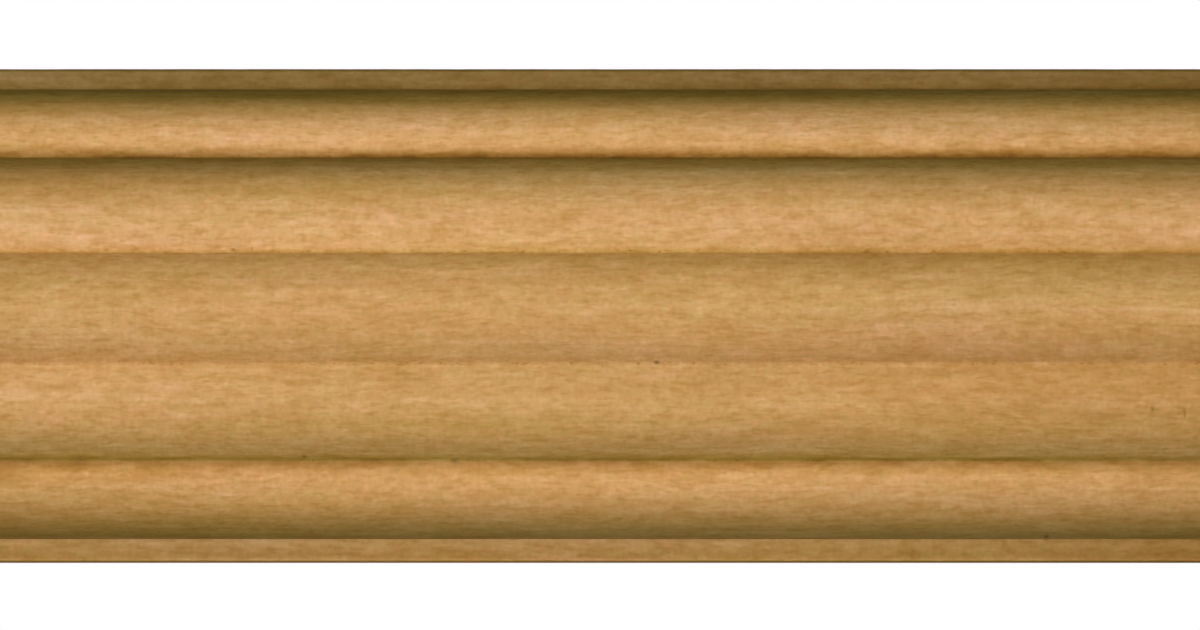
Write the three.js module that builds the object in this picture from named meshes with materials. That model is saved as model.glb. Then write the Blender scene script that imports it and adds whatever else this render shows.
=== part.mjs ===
// Reeded half-round moulding: a length of hardwood trim with equal convex reeds run side by side
// over a low arch, between two thin flat fillets, with a flat back and both ends sawn square.
// Millimetres and degrees, +Z up. The length runs along X, the reeds lie one above the other and
// face -Y, and the back lies in the plane y = 0 with the origin at its centre.

import * as THREE from 'three';

// Driving dimensions
const mouldingLength = 125;
const mouldingWidth = 50.8; // across the reeds, from edge to edge
const edgeThickness = 4.2; // from the back to the front of a fillet
const filletWidth = 2.4; // flat strip beside the outer reed, its arris included
const shoulderHeight = 2; // square step between a fillet and the foot of the outer reed
const reedCount = 5;
const archSweep = 122; // angle that the whole row of reeds spans on the arch
const reedSweep = 100; // angle that one reed turns through, from valley to valley
const arrisRadius = 0.4; // sanded front corner of each long edge

// Facets
const reedFacets = 32;
const arrisFacets = 4;
const samePoint = 1e-6; // two outline points nearer than this are one

// Reeds on the arch: their centres lie on one circle, and the valleys between them on the arch
const squareAngle = 90; // direction in which a reed's surface stands square to the back
const reedPitch = archSweep / reedCount;
const reedHalfSweep = reedSweep / 2;
const outerReedAngle = (archSweep - reedPitch) / 2;
const outerReedEnd = Math.min(outerReedAngle + reedHalfSweep, squareAngle);
const halfReeding = mouldingWidth / 2 - filletWidth;
const reedRadiusShare = sine(reedPitch / 2) / sine(reedHalfSweep);
const centreRadiusShare = cosine(reedPitch / 2) - reedRadiusShare * cosine(reedHalfSweep);
const archRadius = halfReeding
  / (centreRadiusShare * sine(outerReedAngle) + reedRadiusShare * sine(outerReedEnd));
const reedRadius = archRadius * reedRadiusShare;
const centreRadius = archRadius * centreRadiusShare;

// Distance in front of the back: the outer reed's foot, and the arch's centre, which lies behind it
const outerReedFoot = edgeThickness + shoulderHeight;
const archCentreFront = outerReedFoot - centreRadius * cosine(outerReedAngle) - reedRadius * cosine(outerReedEnd);

function sine(angle) {
  return Math.sin(THREE.MathUtils.degToRad(angle));
}

function cosine(angle) {
  return Math.cos(THREE.MathUtils.degToRad(angle));
}

// Outline of the section, anticlockwise: its x runs to the back and its y runs up the moulding.
// An arc goes from one direction to a lower one, each measured upwards from straight ahead.
function addArc(points, front, height, radius, fromAngle, toAngle, facets) {
  const startAngle = Math.PI - THREE.MathUtils.degToRad(fromAngle);
  const endAngle = Math.PI - THREE.MathUtils.degToRad(toAngle);
  const arc = new THREE.EllipseCurve(-front, height, radius, radius, startAngle, endAngle, false, 0);
  for (const point of arc.getPoints(facets)) {
    addPoint(points, point);
  }
}

function addPoint(points, point) {
  const last = points.at(-1);
  if (last === undefined || last.distanceTo(point) > samePoint) {
    points.push(point);
  }
}

function sectionShape() {
  const points = [];
  const halfWidth = mouldingWidth / 2;
  const arrisFront = edgeThickness - arrisRadius;
  const arrisHeight = halfWidth - arrisRadius;

  // flat back, up to the top edge
  addPoint(points, new THREE.Vector2(0, -halfWidth));
  addPoint(points, new THREE.Vector2(0, halfWidth));

  // top edge and fillet
  addArc(points, arrisFront, arrisHeight, arrisRadius, squareAngle, 0, arrisFacets);
  addPoint(points, new THREE.Vector2(-edgeThickness, halfReeding));
  addPoint(points, new THREE.Vector2(-outerReedFoot, halfReeding));

  // reeds, from the top one down
  for (let reed = 0; reed < reedCount; reed += 1) {
    const direction = outerReedAngle - reed * reedPitch;
    const reedFront = archCentreFront + centreRadius * cosine(direction);
    const reedHeight = centreRadius * sine(direction);
    const upperEnd = Math.min(direction + reedHalfSweep, squareAngle);
    const lowerEnd = Math.max(direction - reedHalfSweep, -squareAngle);
    addArc(points, reedFront, reedHeight, reedRadius, upperEnd, lowerEnd, reedFacets);
  }

  // bottom fillet and edge
  addPoint(points, new THREE.Vector2(-outerReedFoot, -halfReeding));
  addPoint(points, new THREE.Vector2(-edgeThickness, -halfReeding));
  addArc(points, arrisFront, -arrisHeight, arrisRadius, 0, -squareAngle, arrisFacets);

  return new THREE.Shape(points);
}

// The stick: the section drawn out along X, sawn square at both ends
function reededMoulding() {
  const geometry = new THREE.ExtrudeGeometry(sectionShape(), {
    depth: mouldingLength,
    steps: 1,
    bevelEnabled: false,
  });
  const stainedWood = new THREE.MeshStandardMaterial({
    color: '#c69a5f',
    roughness: 0.5,
    metalness: 0,
  });
  const mesh = new THREE.Mesh(geometry, stainedWood);
  mesh.name = 'reeded_moulding';
  mesh.rotation.set(Math.PI / 2, Math.PI / 2, 0);
  mesh.position.x = -mouldingLength / 2;
  return mesh;
}

const moulding = new THREE.Group();
moulding.add(reededMoulding());

export default moulding;
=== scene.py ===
# Reeded half-round moulding in stained maple: one stick of wood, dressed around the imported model.
# Metres, +Z up. The length runs along X, the reeds face -Y and the flat back lies at y = 0.

import math
import bpy
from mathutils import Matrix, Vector


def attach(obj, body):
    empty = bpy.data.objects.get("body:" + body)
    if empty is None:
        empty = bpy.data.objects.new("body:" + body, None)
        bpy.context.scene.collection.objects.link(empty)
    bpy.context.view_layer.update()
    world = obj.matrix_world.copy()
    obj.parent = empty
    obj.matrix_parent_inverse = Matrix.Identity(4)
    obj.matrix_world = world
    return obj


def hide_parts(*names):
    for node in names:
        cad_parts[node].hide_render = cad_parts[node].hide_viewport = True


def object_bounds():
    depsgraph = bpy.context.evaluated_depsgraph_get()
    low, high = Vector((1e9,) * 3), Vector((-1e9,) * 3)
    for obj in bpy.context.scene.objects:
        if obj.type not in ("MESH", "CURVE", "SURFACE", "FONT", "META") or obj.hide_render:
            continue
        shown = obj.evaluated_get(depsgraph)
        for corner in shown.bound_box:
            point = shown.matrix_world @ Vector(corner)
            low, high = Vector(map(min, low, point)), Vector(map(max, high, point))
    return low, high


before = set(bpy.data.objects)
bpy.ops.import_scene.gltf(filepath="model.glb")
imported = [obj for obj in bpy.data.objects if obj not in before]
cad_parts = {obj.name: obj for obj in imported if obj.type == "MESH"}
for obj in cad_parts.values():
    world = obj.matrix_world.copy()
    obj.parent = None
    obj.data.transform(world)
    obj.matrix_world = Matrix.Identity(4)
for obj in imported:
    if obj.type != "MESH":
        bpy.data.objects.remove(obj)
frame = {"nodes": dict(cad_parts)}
cadLow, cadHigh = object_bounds()
mm = 0.001
stickLength = (cadHigh.x - cadLow.x) / mm
rightAngle = math.pi / 2
print("frame loaded:", ", ".join(frame["nodes"]))


# Helpers for node trees

class Wire:
    # one value in a node tree, so that a sum in the tree is written as a sum
    def __init__(self, socket):
        self.socket = socket
        self.tree = socket.id_data

    def __add__(self, other):
        return maths(self.tree, "ADD", self, other)

    def __sub__(self, other):
        return maths(self.tree, "SUBTRACT", self, other)

    def __rsub__(self, other):
        return maths(self.tree, "SUBTRACT", other, self)

    def __mul__(self, other):
        return maths(self.tree, "MULTIPLY", self, other)

    def __truediv__(self, other):
        return maths(self.tree, "DIVIDE", self, other)

    def __lt__(self, other):
        return maths(self.tree, "LESS_THAN", self, other)

    def __gt__(self, other):
        return maths(self.tree, "GREATER_THAN", self, other)

    __radd__ = __add__
    __rmul__ = __mul__


def feed(socket, value):
    # a wire is linked, anything else becomes the socket's own value
    if isinstance(value, Wire):
        socket.id_data.links.new(value.socket, socket)
    elif value is not None:
        socket.default_value = value


def addNode(tree, kind, inputs=None, **settings):
    node = tree.nodes.new(kind)
    for name, value in settings.items():
        setattr(node, name, value)
    for name, value in (inputs or {}).items():
        feed(node.inputs[name], value)
    return node


def maths(tree, operation, *values):
    node = addNode(tree, "ShaderNodeMath", operation=operation)
    for socket, value in zip(node.inputs, values):
        feed(socket, value)
    return Wire(node.outputs[0])


def sine(angle):
    return maths(angle.tree, "SINE", angle)


def cosine(angle):
    return maths(angle.tree, "COSINE", angle)


def absolute(value):
    return maths(value.tree, "ABSOLUTE", value)


def smaller(first, second):
    return maths(first.tree, "MINIMUM", first, second)


def larger(first, second):
    return maths(first.tree, "MAXIMUM", first, second)


def within(value, low=0.0, high=1.0):
    return larger(smaller(value, high), low)


def nearestWhole(value):
    return maths(value.tree, "ROUND", value)


def mixed(share, first, second):
    return first + share * (second - first)


def fade(distance, reach):
    # 1 at no distance, dying away over the reach
    return maths(distance.tree, "EXPONENT", distance / (reach * -1.0))


def smooth(value, low, high, toLow=0.0, toHigh=1.0):
    node = addNode(value.tree, "ShaderNodeMapRange", interpolation_type="SMOOTHSTEP")
    for socket, given in zip(node.inputs, (value, low, high, toLow, toHigh)):
        feed(socket, given)
    return Wire(node.outputs[0])


def vector(tree, x, y, z):
    node = addNode(tree, "ShaderNodeCombineXYZ")
    for socket, value in zip(node.inputs, (x, y, z)):
        feed(socket, value)
    return Wire(node.outputs[0])


def parts(value):
    node = addNode(value.tree, "ShaderNodeSeparateXYZ", {"Vector": value})
    return [Wire(socket) for socket in node.outputs]


def noise(point, grain, detail=2.0, roughness=0.5, distortion=0.0, seed=0.0):
    # grain is the size of the pattern's features along X, Y and Z, in the unit of the point
    tree = point.tree
    scaled = addNode(tree, "ShaderNodeVectorMath", operation="DIVIDE")
    feed(scaled.inputs[0], point)
    feed(scaled.inputs[1], grain)
    node = addNode(tree, "ShaderNodeTexNoise", noise_dimensions="4D")
    wanted = {"W": seed, "Scale": 1.0, "Detail": detail, "Roughness": roughness, "Distortion": distortion}
    feed(node.inputs["Vector"], Wire(scaled.outputs[0]))
    for name, value in wanted.items():
        feed(node.inputs[name], value)
    return Wire(node.outputs["Fac"])


# Stained maple

figure = {
    # patterns that make up the wood's figure: size along the grain and across it in mm, strength, seed
    "drift": (80.0, 30.0, 0.35, 1.0),
    "band": (80.0, 6.0, 0.80, 2.0),
    "streak": (6.0, 0.95, 0.58, 3.0),
    "fibre": (14.0, 0.42, 0.26, 4.0),
    "mottle": (2.4, 1.3, 0.52, 5.0),
    "cloud": (1.1, 0.8, 0.40, 6.0),
    "fuzz": (0.6, 0.6, 0.30, 7.0),
    "speckle": (0.45, 0.42, 0.46, 8.0),
    "thread": (0.3, 1.6, 0.16, 9.0),
    "redness": (60.0, 5.0, 0.11, 10.0),
    "blush": (3.0, 1.0, 0.07, 11.0),
    "warmth": (0.7, 0.55, 0.11, 12.0),
    "honey": (24.0, 3.4, 0.26, 19.0),
}
wisps = {
    # short fibres that stand out pale or dark: size along and across in mm, height of the noise
    # where they begin and where they are complete, strength, seed
    "pale": (1.8, 0.45, 0.50, 0.68, 0.17, 41.0),
    "dark": (1.5, 0.40, 0.50, 0.68, -0.30, 42.0),
}
textures = {
    # patterns with no strength of their own: feature size along X, Y and Z in mm, detail, seed
    "grainBend": ((34.0, 11.0, 11.0), 1.0, 31.0),
    "heartBend": ((60.0, 14.0, 14.0), 2.0, 3.1),
    "patch": ((14.0, 1.2, 1.2), 2.0, 14.0),
    "puddle": ((6.0, 1.5, 1.5), 1.0, 18.0),
    "raggedRim": ((1.6, 0.5, 0.5), 2.0, 15.0),
    "speck": ((0.55, 0.30, 0.30), 1.0, 17.0),
    "year": ((5.0, 1.0, 1.0), 1.0, 7.0),
    "ray": ((2.2, 0.16, 1.0), 1.0, 10.0),
    "pore": ((0.5, 0.17, 0.17), 1.0, 11.0),
    "sawdust": ((0.5, 0.4, 0.4), 2.0, 16.0),
    "blotch": ((6.0, 6.0, 6.0), 2.0, 12.0),
}
longStreaks = (
    # streaks that run the whole length: how far up in mm, half height, how much paler, or darker
    # where the number is below 0
    (14.0, 0.5, 0.15),
    (13.0, 0.5, -0.16),
    (11.5, 0.9, -0.24),
    (8.3, 1.2, 0.10),
    (2.3, 0.8, -0.12),
    (-0.3, 0.4, 0.16),
    (-2.8, 1.6, -0.10),
    (-11.3, 1.0, -0.16),
)
marks = (
    # single marks: middle along and up in mm, slant, half length, half height, how dark, or pale
    # where the number is below 0
    (5.8, -5.70, 0.0, 0.26, 0.15, 1.00),
    (45.9, -23.05, 0.0, 0.24, 0.15, 1.00),
    (-37.5, 5.85, 0.0, 0.18, 0.14, 0.55),
    (-35.6, 5.95, 0.0, 0.10, 0.20, 0.35),
    (-14.9, -15.55, 0.0, 0.30, 0.20, 0.50),
    (-30.3, -15.15, 0.0, 0.20, 0.16, 0.60),
    (56.5, -10.50, 0.0, 0.15, 0.32, 0.35),
    (59.8, -11.00, 0.0, 0.12, 0.38, 0.45),
    (-12.9, 3.50, 0.10, 8.5, 0.30, -0.10),
    (-30.0, 1.20, 0.04, 7.0, 0.40, -0.08),
)
wood = {
    "base": (0.640, 0.348, 0.115),       # mean colour of the wiped crests
    "endBase": (0.420, 0.235, 0.092),    # open pores drink more stain
    "backBase": (0.560, 0.350, 0.165),   # thin stain, never wiped with glaze
    # natural logs of red, green and blue: pale wood is also greyer, less so in its finest marks
    "tone": (0.335, 0.452, 0.985),
    "fineTone": (0.345, 0.455, 0.640),
    "yellow": (0.0, 0.0, -1.0),
    "hue": (0.65, -0.74, 0.14),          # red against green
    # colours of the darkening on flanks and in hollows: umber with painted shade
    "greenUmberAndShade": (-1.12, -1.07, -1.77),
    "redUmberAndShade": (-0.70, -0.94, -2.29),
    "fleck": (-1.0, -1.1, -1.3),
    "ringWidth": 2.4,                    # mm from one growth ring to the next
    "ringSharpness": (2.5, 0.6),         # detail and roughness of the bands
    "ringSeed": 7.7,
    "pith": (46.0, -31.0),               # mm: where the tree's heart would lie, behind and below
    "pithDrift": (0.035, -0.05),         # how far the heart drifts for each mm along the stick
    "heartBend": 6.0,                    # mm by which the rings stray from a true circle
    "wayRound": 50.0,                    # mm for each radian round the heart
    "wave": 2.6,                         # mm by which the grain bends to and fro
}
face = {
    "rings": 0.3,
    "patchyStreaks": 1.5,        # how unevenly the long streaks show along their way
    "filletFade": (-25.0, -23.2),   # mm: the bottom fillet is paler near the reeds than at its edge
    "filletMiddle": 0.55,
    "filletChange": 0.45,
    "markFade": (0.86, 0.97),    # lean where marks fade and are gone: no mark runs round an edge
    "roughness": 0.53,
    "streakSheen": 0.2,
    "gloss": 0.135,
    "streakRelief": 0.5,
    "relief": 0.03 * mm,
}
glazeAndShade = {
    # for the bottom fillet, the five reeds upward and the top fillet: how pale, red and yellow the
    # wood came out, and how it darkens to the right and towards both ends
    "paleness": (-0.04, 0.27, -0.13, -0.09, 0.27, 0.34, 0.46),
    "ruddiness": (-0.02, 0.03, -0.01, -0.02, 0.0, 0.02, -0.01),
    "yellowness": (0.03, 0.05, -0.04, -0.07, -0.02, 0.07, 0.05),
    "darkerRight": (0.26, -0.08, 0.0, -0.06, 0.0, 0.07, 0.37),
    "darkerEnds": (0.47, 0.45, 0.07, 0.07, 0.05, 0.27, -0.08),
    # and the darkening, umber with painted shade, of flanks that face up and down, and the painted
    # shade on the brink, the steepest part
    "upward": (0.0, 0.90, 0.28, 0.44, 0.97, 0.85, 0.0),
    "downward": (0.0, 0.55, 0.0, 0.20, 0.0, 0.40, 0.0),
    "brinkShade": (0.0, 0.06, 0.0, 0.0, 0.12, 0.33, 0.33),
    "brinkShadeTint": (0.0, 0.08, 0.0, 0.0, 0.05, 0.07, 0.07),
    # for the foot of the bottom shoulder, the four valleys and the top shoulder: darkening of the
    # wood above and below, pooled umber with painted shade, and how many mm it reaches
    "pooledAndShadeAbove": (0.05, 0.70, 0.0, 0.34, 1.15, 0.80),
    "reachAbove": (0.45, 0.75, 0.45, 0.35, 0.46, 0.47),
    "pooledAndShadeBelow": (0.0, 0.60, 0.0, 0.22, 0.29, 0.30),
    "reachBelow": (0.45, 1.20, 0.45, 0.30, 0.57, 0.46),
    # a greener tint of painted shade on the lip above each hollow
    "oliveLipShade": (0.0, 0.14, -0.04, 0.0, 0.0, 0.0),
    "oliveShadeReach": 3.0,
    # lean is a share of a right angle: 0 faces the front, 1 faces up, -1 faces down
    "steepest": 0.91,            # lean at which the darkening of the flanks is complete
    "flankPower": 1.45,          # how late on the flank the darkening gathers
    # the brink's painted shade begins and is complete at these leans
    "brinkShadeBegins": (0.4, 0.8),
    "patchyFlanks": 0.5,
    # painted shadow over the whole top fillet
    "topFilletShadow": 0.54,
    # umber with painted shade on the top arris
    "topArrisUmberAndShade": 0.50,
    "topArrisBegins": (24.95, 25.25),   # mm up from the middle
    "arrisEnds": (0.8, 1.0),     # the arris ends where the flat edge begins
    "bottomArrisLight": 0.20,         # painted light: the bottom arris is drawn paler
    "arrisLightBegins": (-0.5, -0.15),
    "arrisLightEnds": (-1.0, -0.8),
    "raggedRim": 0.6,
    "patchyPools": 2.4,
    "speckShare": (0.56, 0.72),  # height of the noise where specks begin and are complete
    "speckReach": 0.3,           # mm
    "speckDarkness": 0.45,
}
endCut = {
    "unevenYears": 1.6,
    "lateWoodBegins": (0.35, 0.95),   # share of a year's growth
    "lateWoodEnds": (0.96, 1.0),
    "rayShare": (0.54, 0.66),    # height of the noise where rays and pores begin and are complete
    "poreShare": (0.60, 0.70),
    "rings": 0.9,
    "blotch": 0.7,
    "sawdust": 0.5,
    "sawMarks": 0.45,
    "rays": 0.22,
    "lateWood": 0.42,
    "pores": 0.45,
    "sawSlant": 24.0,            # degrees
    "sawSize": (1.0, 14.0, 0.34),
    "sawWobble": 0.4,
    "sawSeed": 13.0,
    "sawRelief": 0.8,
    "sawdustRelief": 0.4,
    "poreRelief": 0.3,
    "relief": 0.05 * mm,
    "roughness": 0.72,
    "gloss": 0.25,
}
plainBack = {
    "rings": 1.4,
    "relief": 0.04 * mm,
    "roughness": 0.68,
    "gloss": 0.25,
}


def attribute(tree, name):
    return Wire(addNode(tree, "ShaderNodeAttribute", attribute_name=name).outputs["Fac"])


def millimetrePoint(tree):
    coordinates = addNode(tree, "ShaderNodeTexCoord")
    scaled = addNode(tree, "ShaderNodeVectorMath", {"Scale": 1 / mm}, operation="SCALE")
    feed(scaled.inputs[0], Wire(coordinates.outputs["Object"]))
    return Wire(scaled.outputs["Vector"])


def texture(point, name):
    grain, detail, seed = textures[name]
    return noise(point, grain, detail=detail, seed=seed)


def grainPoint(point):
    # the point as the wood's fibres see it: they bend a little on their way along the stick
    x, y, z = parts(point)
    bend = texture(point, "grainBend") - 0.5
    return vector(point.tree, x, y, z + bend * wood["wave"])


def heartPoint(point):
    # distance from the tree's heart, way round it and place along the stick, all in mm; the heart
    # wanders a little and the rings are not quite round
    tree = point.tree
    x, y, z = parts(point)
    behind, below = wood["pith"]
    driftBack, driftUp = wood["pithDrift"]
    bend = texture(point, "heartBend") - 0.5
    away = y - behind + x * driftBack + bend * wood["heartBend"]
    up = z - below + x * driftUp
    distance = maths(tree, "SQRT", away * away + up * up)
    return distance, maths(tree, "ARCTAN2", up, away) * wood["wayRound"], x


def turned(point, degrees):
    # the point turned about X, for marks that run askew
    node = addNode(point.tree, "ShaderNodeVectorRotate", {"Vector": point, "Angle": math.radians(degrees)})
    node.rotation_type = "X_AXIS"
    return Wire(node.outputs["Vector"])


def growthRings(point):
    # irregular bands, ring after ring
    distance = heartPoint(point)[0]
    line = vector(point.tree, distance, 0.0, 0.0)
    detail, roughness = wood["ringSharpness"]
    return noise(line, (wood["ringWidth"],) * 3, detail=detail, roughness=roughness, seed=wood["ringSeed"])


def pattern(point, name):
    along, across, strength, seed = figure[name]
    return (noise(point, (along, across, across), detail=0.0, seed=seed) - 0.5) * strength


def patterns(point, names):
    total = pattern(point, names[0])
    for name in names[1:]:
        total = total + pattern(point, name)
    return total


def wisp(point, name):
    along, across, begin, full, strength, seed = wisps[name]
    found = noise(point, (along, across, across), detail=1.0, roughness=0.4, seed=seed)
    return smooth(found, begin, full) * strength


def layered(base, layers):
    # base colour under layers, each an amount and the natural logs of what it does to the colour
    total = (0.0, 0.0, 0.0)
    for amount, effect in layers:
        node = addNode(amount.tree, "ShaderNodeVectorMath", operation="MULTIPLY_ADD")
        for socket, value in zip(node.inputs, (amount, effect, total)):
            feed(socket, value)
        total = Wire(node.outputs["Vector"])
    tree = total.tree
    channels = [maths(tree, "EXPONENT", log) * share for log, share in zip(parts(total), base)]
    return vector(tree, *channels)


def markDarkness(point, mark):
    # a small mark, darkest in its middle, which may slant and dies away round it
    middleX, middleZ, slant, halfLength, halfHeight, darkness = mark
    x, y, z = parts(point)
    across = (z - middleZ - (x - middleX) * slant) / halfHeight
    along = (x - middleX) / halfLength
    return fade(along * along + across * across, 1.0) * darkness


def newMaterial(name):
    material = bpy.data.materials.new(name)
    material.use_nodes = True
    shader = material.node_tree.nodes["Principled BSDF"]
    return material, material.node_tree, shader


def setBump(shader, height, distance):
    bump = addNode(shader.id_data, "ShaderNodeBump", {"Strength": 1.0, "Distance": distance})
    feed(bump.inputs["Height"], height)
    feed(shader.inputs["Normal"], Wire(bump.outputs["Normal"]))


def chosen(number, amounts):
    # the amount that stands at this whole number in the list
    total = amounts[0]
    for place in range(1, len(amounts)):
        total = (number > place - 0.5) * (amounts[place] - amounts[place - 1]) + total
    return total


def faceTone(grain, place, strip, streak, patchy):
    # how pale the wood is, from its figure, its rings and the strip of the moulding
    x, y, z = parts(place)
    rings = (growthRings(place) - 0.5) * face["rings"]
    tone = patterns(grain, ("drift", "band", "mottle")) + rings + streak
    tone = tone + chosen(strip, glazeAndShade["paleness"])
    along = x / (stickLength / 2)
    tone = tone - along * chosen(strip, glazeAndShade["darkerRight"])
    tone = tone - (along * along - 1 / 3) * chosen(strip, glazeAndShade["darkerEnds"])
    for middle, halfHeight, paleness in longStreaks:
        off = (z - middle) / halfHeight
        tone = tone + fade(off * off, 1.0) * (1.0 + patchy * face["patchyStreaks"]) * paleness
    nearReeds = smooth(z, *face["filletFade"]) - face["filletMiddle"]
    return tone + (strip < 0.5) * nearReeds * face["filletChange"]


def flankGlazeAndShade(z, lean, strip, brinkShade, patchy):
    # darkening of the steep flanks and the top arris, umber with painted shade; a painted shadow
    # on the top fillet, and painted light that makes the bottom arris paler
    steepness = smooth(absolute(lean), 0.0, glazeAndShade["steepest"])
    facingUp, facingDown = chosen(strip, glazeAndShade["upward"]), chosen(strip, glazeAndShade["downward"])
    flank = maths(lean.tree, "POWER", steepness, glazeAndShade["flankPower"])
    flank = flank * mixed(lean > 0.0, facingDown, facingUp)
    lastStrip = len(glazeAndShade["paleness"]) - 1
    # painted shadow over the top fillet
    flank = flank + (strip > lastStrip - 0.5) * glazeAndShade["topFilletShadow"]
    # umber with painted shade on the top arris
    topArrisUmberAndShade = smooth(z, *glazeAndShade["topArrisBegins"]) * smooth(lean, *glazeAndShade["arrisEnds"], 1.0, 0.0)
    flank = flank + topArrisUmberAndShade * glazeAndShade["topArrisUmberAndShade"]
    # painted shade on the brink
    flank = flank + brinkShade * chosen(strip, glazeAndShade["brinkShade"])
    # painted light: the bottom arris is drawn paler
    paintedArrisLight = smooth(lean, *glazeAndShade["arrisLightBegins"], 1.0, 0.0) * smooth(lean, *glazeAndShade["arrisLightEnds"])
    flank = flank - (strip < 0.5) * paintedArrisLight * glazeAndShade["bottomArrisLight"]
    return flank * (1.0 + patchy * glazeAndShade["patchyFlanks"])


def pooledGlazeAndShade(grain, recess, hollow, onLip):
    # darkening in the hollows, pooled umber with painted shade, and specks of dirt along their upper lips
    amount = mixed(onLip, chosen(hollow, glazeAndShade["pooledAndShadeBelow"]), chosen(hollow, glazeAndShade["pooledAndShadeAbove"]))
    reach = mixed(onLip, chosen(hollow, glazeAndShade["reachBelow"]), chosen(hollow, glazeAndShade["reachAbove"]))
    ragged = texture(grain, "raggedRim") - 0.5
    patchy = texture(grain, "puddle") - 0.5
    rim = larger(recess + ragged * glazeAndShade["raggedRim"], 0.0)
    # umber with painted shade, darkest at the bottom of each hollow
    pooledUmberAndShade = amount * fade(rim, reach) * (1.0 + patchy * glazeAndShade["patchyPools"])
    specks = smooth(texture(grain, "speck"), *glazeAndShade["speckShare"])
    return pooledUmberAndShade + specks * fade(recess, glazeAndShade["speckReach"]) * onLip * glazeAndShade["speckDarkness"]


def stainedFace():
    material, tree, shader = newMaterial("stained maple face")
    point = millimetrePoint(tree)
    grain = grainPoint(point)
    recess = attribute(tree, "recess")
    lean = attribute(tree, "lean")
    strip = attribute(tree, "strip")
    hollow = attribute(tree, "hollow")
    onLip = strip > hollow + 0.5
    # painted shade on the brink, the steepest part of each flank
    brinkShade = smooth(absolute(lean), *glazeAndShade["brinkShadeBegins"])
    patchy = texture(grain, "patch") - 0.5

    streak = patterns(grain, ("streak", "fibre")) + wisp(grain, "pale") + wisp(grain, "dark")
    fine = patterns(grain, ("cloud", "fuzz", "speckle", "thread"))
    hue = patterns(grain, ("redness", "blush", "warmth")) + chosen(strip, glazeAndShade["ruddiness"])
    # painted shade: an olive tint on the brink
    hue = hue - brinkShade * chosen(strip, glazeAndShade["brinkShadeTint"])
    # painted shade: a greener tint on the lip above each hollow
    hue = hue - onLip * chosen(hollow, glazeAndShade["oliveLipShade"]) * fade(recess, glazeAndShade["oliveShadeReach"])
    marked = markDarkness(point, marks[0])
    for mark in marks[1:]:
        marked = marked + markDarkness(point, mark)
    marked = marked * smooth(absolute(lean), *face["markFade"], 1.0, 0.0)

    colour = layered(wood["base"], [
        (faceTone(grain, point, strip, streak, patchy), wood["tone"]),
        (fine, wood["fineTone"]),
        (hue, wood["hue"]),
        (pattern(grain, "honey") + chosen(strip, glazeAndShade["yellowness"]), wood["yellow"]),
        # umber with painted shade on the flanks, and in the hollows
        (flankGlazeAndShade(parts(point)[2], lean, strip, brinkShade, patchy), wood["greenUmberAndShade"]),
        (pooledGlazeAndShade(grain, recess, hollow, onLip), wood["redUmberAndShade"]),
        (marked, wood["fleck"]),
    ])
    feed(shader.inputs["Base Color"], colour)
    feed(shader.inputs["Roughness"], face["roughness"] - streak * face["streakSheen"])
    shader.inputs["Specular IOR Level"].default_value = face["gloss"]
    setBump(shader, fine + streak * face["streakRelief"], face["relief"])
    return material


def endGrain():
    material, tree, shader = newMaterial("sawn end grain")
    point = millimetrePoint(tree)
    distance, wayRound, x = heartPoint(point)
    unevenYears = texture(vector(tree, distance, 0.0, 0.0), "year") - 0.5
    year = maths(tree, "FRACT", distance / wood["ringWidth"] + unevenYears * endCut["unevenYears"])
    lateWood = smooth(year, *endCut["lateWoodBegins"]) * smooth(year, *endCut["lateWoodEnds"], 1.0, 0.0)
    rays = smooth(texture(vector(tree, distance, wayRound, x), "ray"), *endCut["rayShare"])
    pores = smooth(texture(point, "pore"), *endCut["poreShare"])
    sawdust = texture(point, "sawdust") - 0.5
    blotch = texture(point, "blotch") - 0.5
    sawMarks = noise(
        turned(point, endCut["sawSlant"]), endCut["sawSize"],
        distortion=endCut["sawWobble"], seed=endCut["sawSeed"],
    ) - 0.5
    tone = (growthRings(point) - 0.5) * endCut["rings"] + blotch * endCut["blotch"]
    tone = tone + sawdust * endCut["sawdust"] + sawMarks * endCut["sawMarks"]
    tone = tone + rays * endCut["rays"] - lateWood * endCut["lateWood"]
    colour = layered(wood["endBase"], [
        (tone, wood["tone"]),
        (pores * endCut["pores"], wood["fleck"]),
    ])
    feed(shader.inputs["Base Color"], colour)
    shader.inputs["Roughness"].default_value = endCut["roughness"]
    shader.inputs["Specular IOR Level"].default_value = endCut["gloss"]
    height = sawMarks * endCut["sawRelief"] + sawdust * endCut["sawdustRelief"]
    setBump(shader, height - pores * endCut["poreRelief"], endCut["relief"])
    return material


def planedBack():
    material, tree, shader = newMaterial("planed maple back")
    point = millimetrePoint(tree)
    grain = grainPoint(point)
    tone = patterns(grain, ("drift", "band", "streak", "mottle", "cloud", "speckle")) + wisp(grain, "dark")
    tone = tone + (growthRings(point) - 0.5) * plainBack["rings"]
    colour = layered(wood["backBase"], [
        (tone, wood["tone"]),
        (patterns(grain, ("redness", "blush")), wood["hue"]),
    ])
    feed(shader.inputs["Base Color"], colour)
    shader.inputs["Roughness"].default_value = plainBack["roughness"]
    shader.inputs["Specular IOR Level"].default_value = plainBack["gloss"]
    setBump(shader, patterns(grain, ("streak", "fuzz", "speckle")), plainBack["relief"])
    return material


faceWood = stainedFace()
endWood = endGrain()
backWood = planedBack()
print("materials made:", ", ".join(m.name for m in (faceWood, endWood, backWood)))


# The stick: its section drawn by rule and run along X

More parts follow.
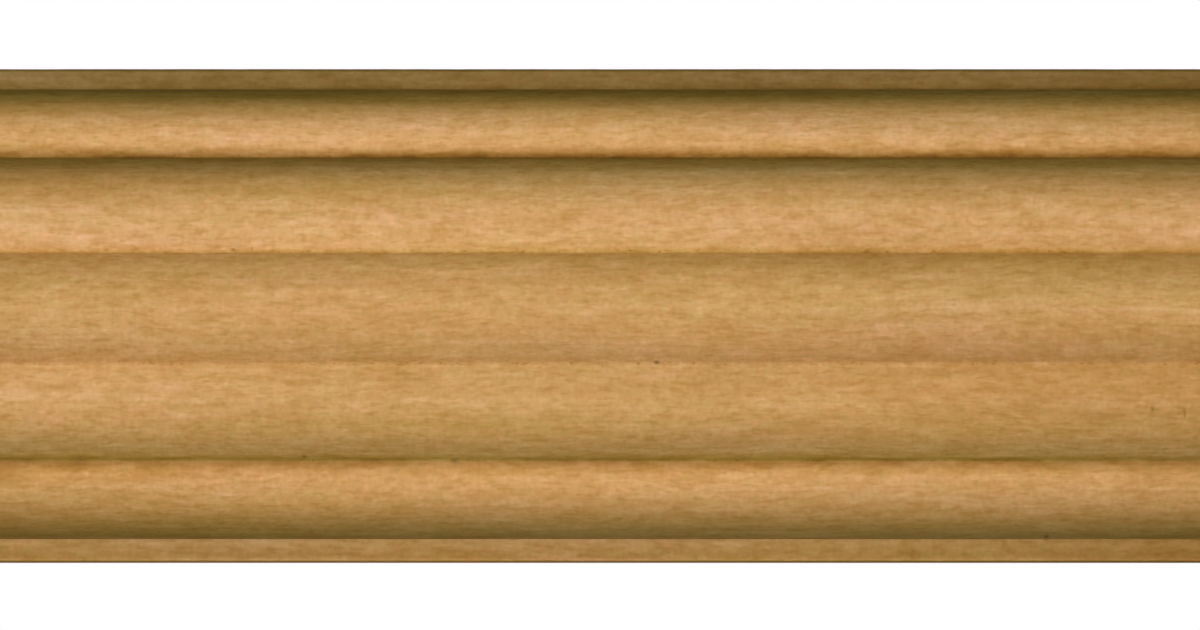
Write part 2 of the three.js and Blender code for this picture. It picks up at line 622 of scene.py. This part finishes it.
stick = {
    "length": cadHigh.x - cadLow.x,
    "width": cadHigh.z - cadLow.z,
    "edgeThickness": 4.2 * mm,
    "filletWidth": 2.4 * mm,
    "shoulderHeight": 2.0 * mm,
    "reedCount": 5,
    "archSweep": math.radians(122),
    "reedSweep": math.radians(100),
    "arrisRadius": 0.4 * mm,
    "arrisRows": 4,
    "filletRows": 5,
    "shoulderRows": 4,
    "reedRows": 32,
    "stations": 196,
    "depthRows": 10,
    "crowding": 0.6,           # rows drawn together towards the valleys, where the section turns
    "unevenness": 0.03 * mm,   # how far the sanded wood lies below the clean section
    "swellShare": 0.7,
    "rippleShare": 0.3,
    "wander": 0.06 * mm,       # valleys stray this far to either side
    "wanderReach": 0.9 * mm,   # and the wood beside them moves along this far up the reed
    "valleyFill": 0.10 * mm,   # finish and dust that soften the bottom of a valley
    "fillReach": 0.15 * mm,
    "arrisWear": 0.02 * mm,
    "wearBegins": 0.4,         # height of the noise where wear begins and is complete
    "wearFull": 0.75,
    "endEase": 0.12 * mm,      # arris taken off the sawn ends
    "knockDensity": 1600.0,    # small dents in a square metre
    "knockRadius": 1.0 * mm,
    "knockDepth": 0.03 * mm,
    "sharpAngle": math.radians(32),
    "seed": 5,
    "faceWood": faceWood,
    "endWood": endWood,
    "backWood": backWood,
}
handwork = {
    # unevenness left by hand: feature size along X, Y and Z, detail, roughness, added to the seed;
    # for stray valleys the size along Z is counted in reeds
    "swell": ((22 * mm, 4 * mm, 4 * mm), 2.0, 0.5, 0.0),
    "ripple": ((5 * mm, 0.8 * mm, 0.8 * mm), 1.0, 0.5, 3.0),
    "wear": ((4 * mm, 9 * mm, 9 * mm), 3.0, 0.6, 5.0),
    "stray": ((5 * mm, 1.0, 1.0), 3.0, 0.75, 9.0),
}
# how far the bottom shoulder, the four valleys and the top shoulder stand off an even spacing
handCut = [shift * mm for shift in (-0.24, 0.20, -0.28, 0.13, 0.02, 0.12)]
socketKinds = {int: "NodeSocketInt", float: "NodeSocketFloat", bpy.types.Material: "NodeSocketMaterial"}


def treeInputs(tree, settings):
    for name, value in settings.items():
        tree.interface.new_socket(name, in_out="INPUT", socket_type=socketKinds[type(value)])
    entry = addNode(tree, "NodeGroupInput")
    return {name: Wire(entry.outputs[name]) for name in settings}


def wholeSum(operation, first, second):
    node = addNode(first.tree, "FunctionNodeIntegerMath", operation=operation)
    feed(node.inputs[0], first)
    feed(node.inputs[1], second)
    return Wire(node.outputs[0])


def setMaterial(geometry, material, selection=None):
    inputs = {"Geometry": geometry, "Selection": selection, "Material": material}
    return Wire(addNode(geometry.tree, "GeometryNodeSetMaterial", inputs).outputs["Geometry"])


def storeNumber(geometry, name, value, domain):
    inputs = {"Geometry": geometry, "Name": name}
    node = addNode(geometry.tree, "GeometryNodeStoreNamedAttribute", inputs, domain=domain)
    feed(node.inputs["Value"], value)
    return Wire(node.outputs["Geometry"])


def faceMean(value):
    # a face's own value, which its corners share
    node = addNode(value.tree, "GeometryNodeFieldOnDomain", domain="FACE")
    feed(node.inputs[0], value)
    return Wire(node.outputs[0])


def handmade(place, name, seed):
    grain, detail, roughness, ownSeed = handwork[name]
    return noise(place, grain, detail=detail, roughness=roughness, seed=seed + ownSeed)


def sectionPoint(size, rows, row, ownRow):
    # where a row of points lies, which way it faces, how far it is from the nearest hollow and
    # what it belongs to; ownRow says which side is meant where two surfaces meet on that row
    tree = row.tree

    # long edges: arris, fillet and the square step up to the reeds, alike at both edges
    side = (ownRow * 2.0 > rows["all"]) * 2.0 - 1.0
    fromEdge = smaller(row, rows["all"] - row)
    ownFromEdge = smaller(ownRow, rows["all"] - ownRow)
    arrisTurn = within(fromEdge / size["arrisRows"]) * rightAngle
    filletShare = within((fromEdge - size["arrisRows"]) / size["filletRows"])
    onShoulder = ownFromEdge > size["arrisRows"] + size["filletRows"]
    shoulderShare = within((fromEdge - size["arrisRows"] - size["filletRows"]) / size["shoulderRows"])
    flatWidth = size["filletWidth"] - size["arrisRadius"]
    edgeFront = size["edgeThickness"] + size["arrisRadius"] * (sine(arrisTurn) - 1.0)
    edgeFront = edgeFront + shoulderShare * size["shoulderHeight"]
    edgeHeight = size["width"] / 2.0 + size["arrisRadius"] * (cosine(arrisTurn) - 1.0)
    edgeHeight = edgeHeight - filletShare * flatWidth
    edgeLean = larger(rightAngle - arrisTurn, onShoulder * rightAngle)
    edgeGap = (1.0 - filletShare) * flatWidth + shoulderShare * size["shoulderHeight"]

    # arch that carries the reeds
    pitch = size["archSweep"] / size["reedCount"]
    halfSweep = size["reedSweep"] / 2.0
    outerLean = (size["archSweep"] - pitch) / 2.0
    outerEnd = smaller(outerLean + halfSweep, rightAngle)
    radiusShare = sine(pitch / 2.0) / sine(halfSweep)
    centreShare = cosine(pitch / 2.0) - radiusShare * cosine(halfSweep)
    halfReeding = size["width"] / 2.0 - size["filletWidth"]
    archRadius = halfReeding / (centreShare * sine(outerLean) + radiusShare * sine(outerEnd))
    reedRadius = archRadius * radiusShare
    centreRadius = archRadius * centreShare
    reedFoot = size["edgeThickness"] + size["shoulderHeight"]
    archFront = reedFoot - centreRadius * cosine(outerLean) - reedRadius * cosine(outerEnd)

    # reeds, from the bottom one up, their rows drawn together towards the valleys
    lastReed = size["reedCount"] - 1.0
    ownReedRow = within(ownRow - rows["margin"], 0.0, rows["reeding"])
    reed = smaller(maths(tree, "FLOOR", ownReedRow / size["reedRows"]), lastReed)
    share = within(within(row - rows["margin"], 0.0, rows["reeding"]) / size["reedRows"] - reed)
    share = mixed(size["crowding"], share, sine((share - 0.5) * math.pi) * 0.5 + 0.5)
    reedLean = reed * pitch - outerLean
    lowLean = larger(reedLean - halfSweep, -rightAngle)
    highLean = smaller(reedLean + halfSweep, rightAngle)
    turn = mixed(share, lowLean, highLean)
    reedFront = archFront + centreRadius * cosine(reedLean) + reedRadius * cosine(turn)
    reedHeight = centreRadius * sine(reedLean) + reedRadius * sine(turn)
    reedHeight = reedHeight + mixed(share, chosen(reed, handCut), chosen(reed + 1.0, handCut))
    lowGap = (turn - lowLean) * reedRadius + (reed < 0.5) * size["shoulderHeight"]
    highGap = (highLean - turn) * reedRadius + (reed > lastReed - 0.5) * size["shoulderHeight"]

    onEdge = ownFromEdge < rows["margin"]
    atTop = side > 0.0
    return {
        "front": mixed(onEdge, reedFront, edgeFront),
        "height": mixed(onEdge, reedHeight, side * edgeHeight),
        "lean": mixed(onEdge, turn, side * edgeLean),
        "gap": mixed(onEdge, smaller(lowGap, highGap), edgeGap),
        "reed": reed,
        "strip": mixed(onShoulder, atTop * (size["reedCount"] + 1.0), reed + 1.0),
        "hollow": mixed(onEdge, reed + (highGap < lowGap), atTop * size["reedCount"]),
        "onReeds": 1.0 - onEdge,
        "isArris": fromEdge < size["arrisRows"],
    }


def reededStickTree(settings):
    tree = bpy.data.node_groups.new("reeded stick", "GeometryNodeTree")
    tree.interface.new_socket("Geometry", in_out="OUTPUT", socket_type="NodeSocketGeometry")
    size = treeInputs(tree, settings)

    # a closed block, one row of points for each step round the section
    marginRows = wholeSum("ADD", size["arrisRows"], size["filletRows"])
    marginRows = wholeSum("ADD", marginRows, size["shoulderRows"])
    reedingRows = wholeSum("MULTIPLY", size["reedCount"], size["reedRows"])
    rowCount = wholeSum("ADD", wholeSum("MULTIPLY", marginRows, 2), reedingRows)
    rows = {"margin": marginRows, "reeding": reedingRows, "all": rowCount}
    block = addNode(tree, "GeometryNodeMeshCube", {
        "Vertices X": wholeSum("ADD", size["stations"], 1),
        "Vertices Y": wholeSum("ADD", size["depthRows"], 1),
        "Vertices Z": wholeSum("ADD", rowCount, 1),
    })
    capture = addNode(tree, "GeometryNodeCaptureAttribute", domain="FACE")
    capture.capture_items.new("VECTOR", "blockSide")
    feed(capture.inputs["Geometry"], Wire(block.outputs["Mesh"]))
    feed(capture.inputs["blockSide"], Wire(addNode(tree, "GeometryNodeInputNormal").outputs[0]))
    sideX, sideY, sideZ = parts(Wire(capture.outputs["blockSide"]))
    geometry = Wire(capture.outputs["Geometry"])

    x, y, z = parts(Wire(addNode(tree, "GeometryNodeInputPosition").outputs[0]))
    column = y + 0.5
    rise = z + 0.5
    row = nearestWhole(rise * rowCount)
    station = nearestWhole((x + 0.5) * size["stations"])

    # for the stain: how far from which hollow each corner lies, which way it faces and whose it is
    corner = sectionPoint(size, rows, row, faceMean(row))
    geometry = storeNumber(geometry, "recess", corner["gap"] / mm, "CORNER")
    geometry = storeNumber(geometry, "lean", corner["lean"] / rightAngle, "CORNER")
    geometry = storeNumber(geometry, "strip", faceMean(corner["strip"]), "FACE")
    geometry = storeNumber(geometry, "hollow", nearestWhole(faceMean(corner["hollow"])), "FACE")

    # stations along the stick, the outermost pair close together for the eased ends
    halfLength = size["length"] / 2.0
    atEnd = (station > size["stations"] - 0.5) - (station < 0.5)
    even = within((station - 1.0) / (size["stations"] - 2.0))
    along = mixed(even, size["endEase"] - halfLength, halfLength - size["endEase"])
    along = along + atEnd * size["endEase"]

    # hand of the maker and years of use: wear goes into the wood, and dust fills the valleys
    spot = sectionPoint(size, rows, row, row)
    front, height, lean, gap = spot["front"], spot["height"], spot["lean"], spot["gap"]
    place = vector(tree, along, front, height)
    seed = size["seed"] * 1.0
    swell = handmade(place, "swell", seed)
    ripple = handmade(place, "ripple", seed)
    wear = smooth(handmade(place, "wear", seed), size["wearBegins"], size["wearFull"])
    stray = handmade(vector(tree, along, 0.0, spot["reed"]), "stray", seed)
    sink = size["unevenness"] * (swell * size["swellShare"] + ripple * size["rippleShare"])
    sink = sink + spot["isArris"] * size["arrisWear"] * wear
    sink = sink + absolute(atEnd) * size["endEase"]
    nearValley = fade(gap, size["wanderReach"]) * spot["onReeds"]
    fill = size["valleyFill"] * fade(gap, size["fillReach"]) * spot["onReeds"]
    front = front - sink * cosine(lean) + fill
    height = height - sink * sine(lean) + size["wander"] * (stray - 0.5) * 2.0 * nearValley

    backHeight = (rise - 0.5) * size["width"]
    position = vector(tree, along, front * (column - 1.0), mixed(column, height, backHeight))
    shaped = addNode(tree, "GeometryNodeSetPosition", {"Geometry": geometry, "Position": position})
    geometry = Wire(shaped.outputs["Geometry"])

    # small dents, scattered over the front
    onFront = sideY < -0.5
    dents = addNode(tree, "GeometryNodeDistributePointsOnFaces", distribute_method="RANDOM")
    feed(dents.inputs["Mesh"], geometry)
    feed(dents.inputs["Selection"], onFront)
    feed(dents.inputs["Density"], size["knockDensity"])
    feed(dents.inputs["Seed"], size["seed"])
    nearest = addNode(tree, "GeometryNodeProximity", target_element="POINTS")
    feed(nearest.inputs["Target"], Wire(dents.outputs["Points"]))
    depth = smooth(Wire(nearest.outputs["Distance"]), 0.0, size["knockRadius"], 1.0, 0.0)
    depth = depth * size["knockDepth"]
    inward = addNode(tree, "ShaderNodeVectorMath", {
        "Vector": Wire(addNode(tree, "GeometryNodeInputNormal").outputs[0]),
        "Scale": depth * -1.0,
    }, operation="SCALE")
    dented = addNode(tree, "GeometryNodeSetPosition", {
        "Geometry": geometry,
        "Selection": faceMean(sideY) < -0.5,
        "Offset": Wire(inward.outputs["Vector"]),
    })
    geometry = Wire(dented.outputs["Geometry"])

    # crisp edges stay crisp
    smoothFaces = addNode(tree, "GeometryNodeSetShadeSmooth", {"Geometry": geometry, "Shade Smooth": True})
    angle = Wire(addNode(tree, "GeometryNodeInputMeshEdgeAngle").outputs["Unsigned Angle"])
    crisp = addNode(tree, "GeometryNodeSetShadeSmooth", {
        "Geometry": Wire(smoothFaces.outputs[0]),
        "Selection": angle > size["sharpAngle"],
        "Shade Smooth": False,
    }, domain="EDGE")
    geometry = Wire(crisp.outputs[0])

    real = addNode(tree, "GeometryNodeRealizeInstances", {"Geometry": geometry})
    geometry = setMaterial(Wire(real.outputs["Geometry"]), size["faceWood"])
    geometry = setMaterial(geometry, size["endWood"], sideX * sideX > 0.5)
    geometry = setMaterial(geometry, size["backWood"], sideY > 0.5)
    addNode(tree, "NodeGroupOutput", {"Geometry": geometry})
    return tree


def bakedPiece(name, tree, settings):
    # runs the tree on an empty object and keeps the result as a plain mesh
    maker = bpy.data.objects.new(name + "_maker", bpy.data.meshes.new(name + "_maker"))
    bpy.context.scene.collection.objects.link(maker)
    modifier = maker.modifiers.new("shape", "NODES")
    modifier.node_group = tree
    for item in tree.interface.items_tree:
        if item.item_type == "SOCKET" and item.in_out == "INPUT":
            modifier[item.identifier] = settings[item.name]
    depsgraph = bpy.context.evaluated_depsgraph_get()
    shaped = maker.evaluated_get(depsgraph)
    mesh = bpy.data.meshes.new_from_object(shaped, preserve_all_data_layers=True, depsgraph=depsgraph)
    mesh.name = name
    bpy.data.objects.remove(maker)
    piece = bpy.data.objects.new(name, mesh)
    bpy.context.scene.collection.objects.link(piece)
    return piece


moulding = bakedPiece("reeded_stick", reededStickTree(stick), stick)
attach(moulding, "root")
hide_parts("reeded_moulding")
triangles = sum(len(polygon.vertices) - 2 for polygon in moulding.data.polygons)
print("stick made:", triangles, "triangles")


# Floor, lights and camera

studio = {
    "floorDrop": 200 * mm,     # floor below the middle of the stick
    "floorSize": 60.0,
    "floorColour": (0.30, 0.30, 0.30, 1.0),
    "floorGlow": (0.84, 0.84, 0.83, 1.0),   # the floor stays pale beyond the lamps
    "floorRoughness": 0.9,
    "floorGloss": 0.1,
    "backgroundColour": (1.0, 1.0, 1.0, 1.0),
    "ambient": 0.03,
    "lens": 600.0,
    "sensor": 36.0,
    "clipStart": 0.05,
    "clipEnd": 100.0,
}
photo = {
    "width": 1200,
    "height": 630,
    "edgeTop": 69.0,           # rows where the moulding's long edges lie
    "edgeBottom": 563.0,
    "belowHorizon": math.radians(3.35),   # the camera looks up at the stick by this angle
}
lamps = {
    # elevation and azimuth in degrees, distance and size in metres, power in watts
    "low": {"elevation": -34, "azimuth": -6, "distance": 0.42, "size": (0.30, 0.11), "power": 0.90},
    "level": {"elevation": 0, "azimuth": -6, "distance": 0.42, "size": (0.30, 0.11), "power": 0.27},
    "high": {"elevation": 36, "azimuth": -6, "distance": 0.42, "size": (0.30, 0.11), "power": 0.80},
    "endLeft": {"elevation": 3, "azimuth": -100, "distance": 0.6, "size": (0.3, 0.3), "power": 1.6},
    "endRight": {"elevation": 3, "azimuth": 100, "distance": 0.6, "size": (0.3, 0.3), "power": 1.6},
    "backLeft": {"elevation": 4, "azimuth": -135, "distance": 0.6, "size": (0.4, 0.3), "power": 2.2},
    "backRight": {"elevation": 4, "azimuth": 135, "distance": 0.6, "size": (0.4, 0.3), "power": 2.2},
}


def directionTo(azimuth, elevation):
    # azimuth 0 is straight in front of the reeds, 90 is off the right end
    return Vector((
        math.sin(azimuth) * math.cos(elevation),
        -math.cos(azimuth) * math.cos(elevation),
        math.sin(elevation),
    ))


def layFloor():
    half = studio["floorSize"] / 2
    corners = [(-half, -half), (half, -half), (half, half), (-half, half)]
    mesh = bpy.data.meshes.new("floor")
    mesh.from_pydata([(x, y, -studio["floorDrop"]) for x, y in corners], [], [(0, 1, 2, 3)])
    material, tree, shader = newMaterial("pale floor")
    shader.inputs["Base Color"].default_value = studio["floorColour"]
    shader.inputs["Emission Color"].default_value = studio["floorGlow"]
    shader.inputs["Emission Strength"].default_value = 1.0
    shader.inputs["Roughness"].default_value = studio["floorRoughness"]
    shader.inputs["Specular IOR Level"].default_value = studio["floorGloss"]
    mesh.materials.append(material)
    floor = bpy.data.objects.new("floor", mesh)
    bpy.context.scene.collection.objects.link(floor)
    # it is a backdrop: it casts no shadow and sends no light to the moulding
    floor.visible_shadow = False
    floor.visible_diffuse = False
    floor.visible_glossy = False


def lightRoom():
    world = bpy.data.worlds.new("white studio")
    world.use_nodes = True
    tree = world.node_tree
    background = tree.nodes["Background"]
    background.inputs["Color"].default_value = studio["backgroundColour"]
    seen = Wire(addNode(tree, "ShaderNodeLightPath").outputs["Is Camera Ray"])
    feed(background.inputs["Strength"], mixed(seen, studio["ambient"], 1.0))
    bpy.context.scene.world = world


def hangLamp(name, lamp):
    light = bpy.data.lights.new(name, "AREA")
    light.shape = "RECTANGLE"
    light.size, light.size_y = lamp["size"]
    light.energy = lamp["power"]
    holder = bpy.data.objects.new(name, light)
    towards = directionTo(math.radians(lamp["azimuth"]), math.radians(lamp["elevation"]))
    holder.location = towards * lamp["distance"]
    holder.rotation_euler = (-towards).to_track_quat("-Z", "Y").to_euler()
    holder.visible_camera = False
    # only the lamps in front lend the wood their sheen
    holder.visible_glossy = abs(lamp["azimuth"]) < 90
    bpy.context.scene.collection.objects.link(holder)


def setCamera():
    # far off with a long lens, a little below the middle, as the crest sits high between the edges
    tilt = photo["belowHorizon"]
    arris = stick["arrisRadius"]
    topEdge = (stick["width"] / 2 - arris) * math.cos(tilt)
    topEdge = topEdge + (stick["edgeThickness"] - arris) * math.sin(tilt) + arris
    bottomEdge = -stick["width"] / 2 * math.cos(tilt)
    pixel = (topEdge - bottomEdge) / (photo["edgeBottom"] - photo["edgeTop"])
    distance = pixel * photo["width"] * studio["lens"] / studio["sensor"] + stick["edgeThickness"] / 2
    offCentre = (photo["edgeTop"] + photo["edgeBottom"] - photo["height"]) / 2 * pixel
    towards = directionTo(0, -tilt)
    aim = Vector((0, 0, (topEdge + bottomEdge) / 2 + offCentre))
    camera = bpy.data.cameras.new("camera")
    camera.lens = studio["lens"]
    camera.sensor_width = studio["sensor"]
    camera.clip_start = studio["clipStart"]
    camera.clip_end = studio["clipEnd"]
    holder = bpy.data.objects.new("camera", camera)
    holder.location = aim + towards * distance
    holder.rotation_euler = (-towards).to_track_quat("-Z", "Y").to_euler()
    bpy.context.scene.collection.objects.link(holder)
    bpy.context.scene.camera = holder


layFloor()
lightRoom()
for lampName, lamp in lamps.items():
    hangLamp(lampName, lamp)
setCamera()
bpy.context.scene.view_settings.view_transform = "Standard"
bpy.context.scene.view_settings.look = "None"
print("floor, lights and camera set")
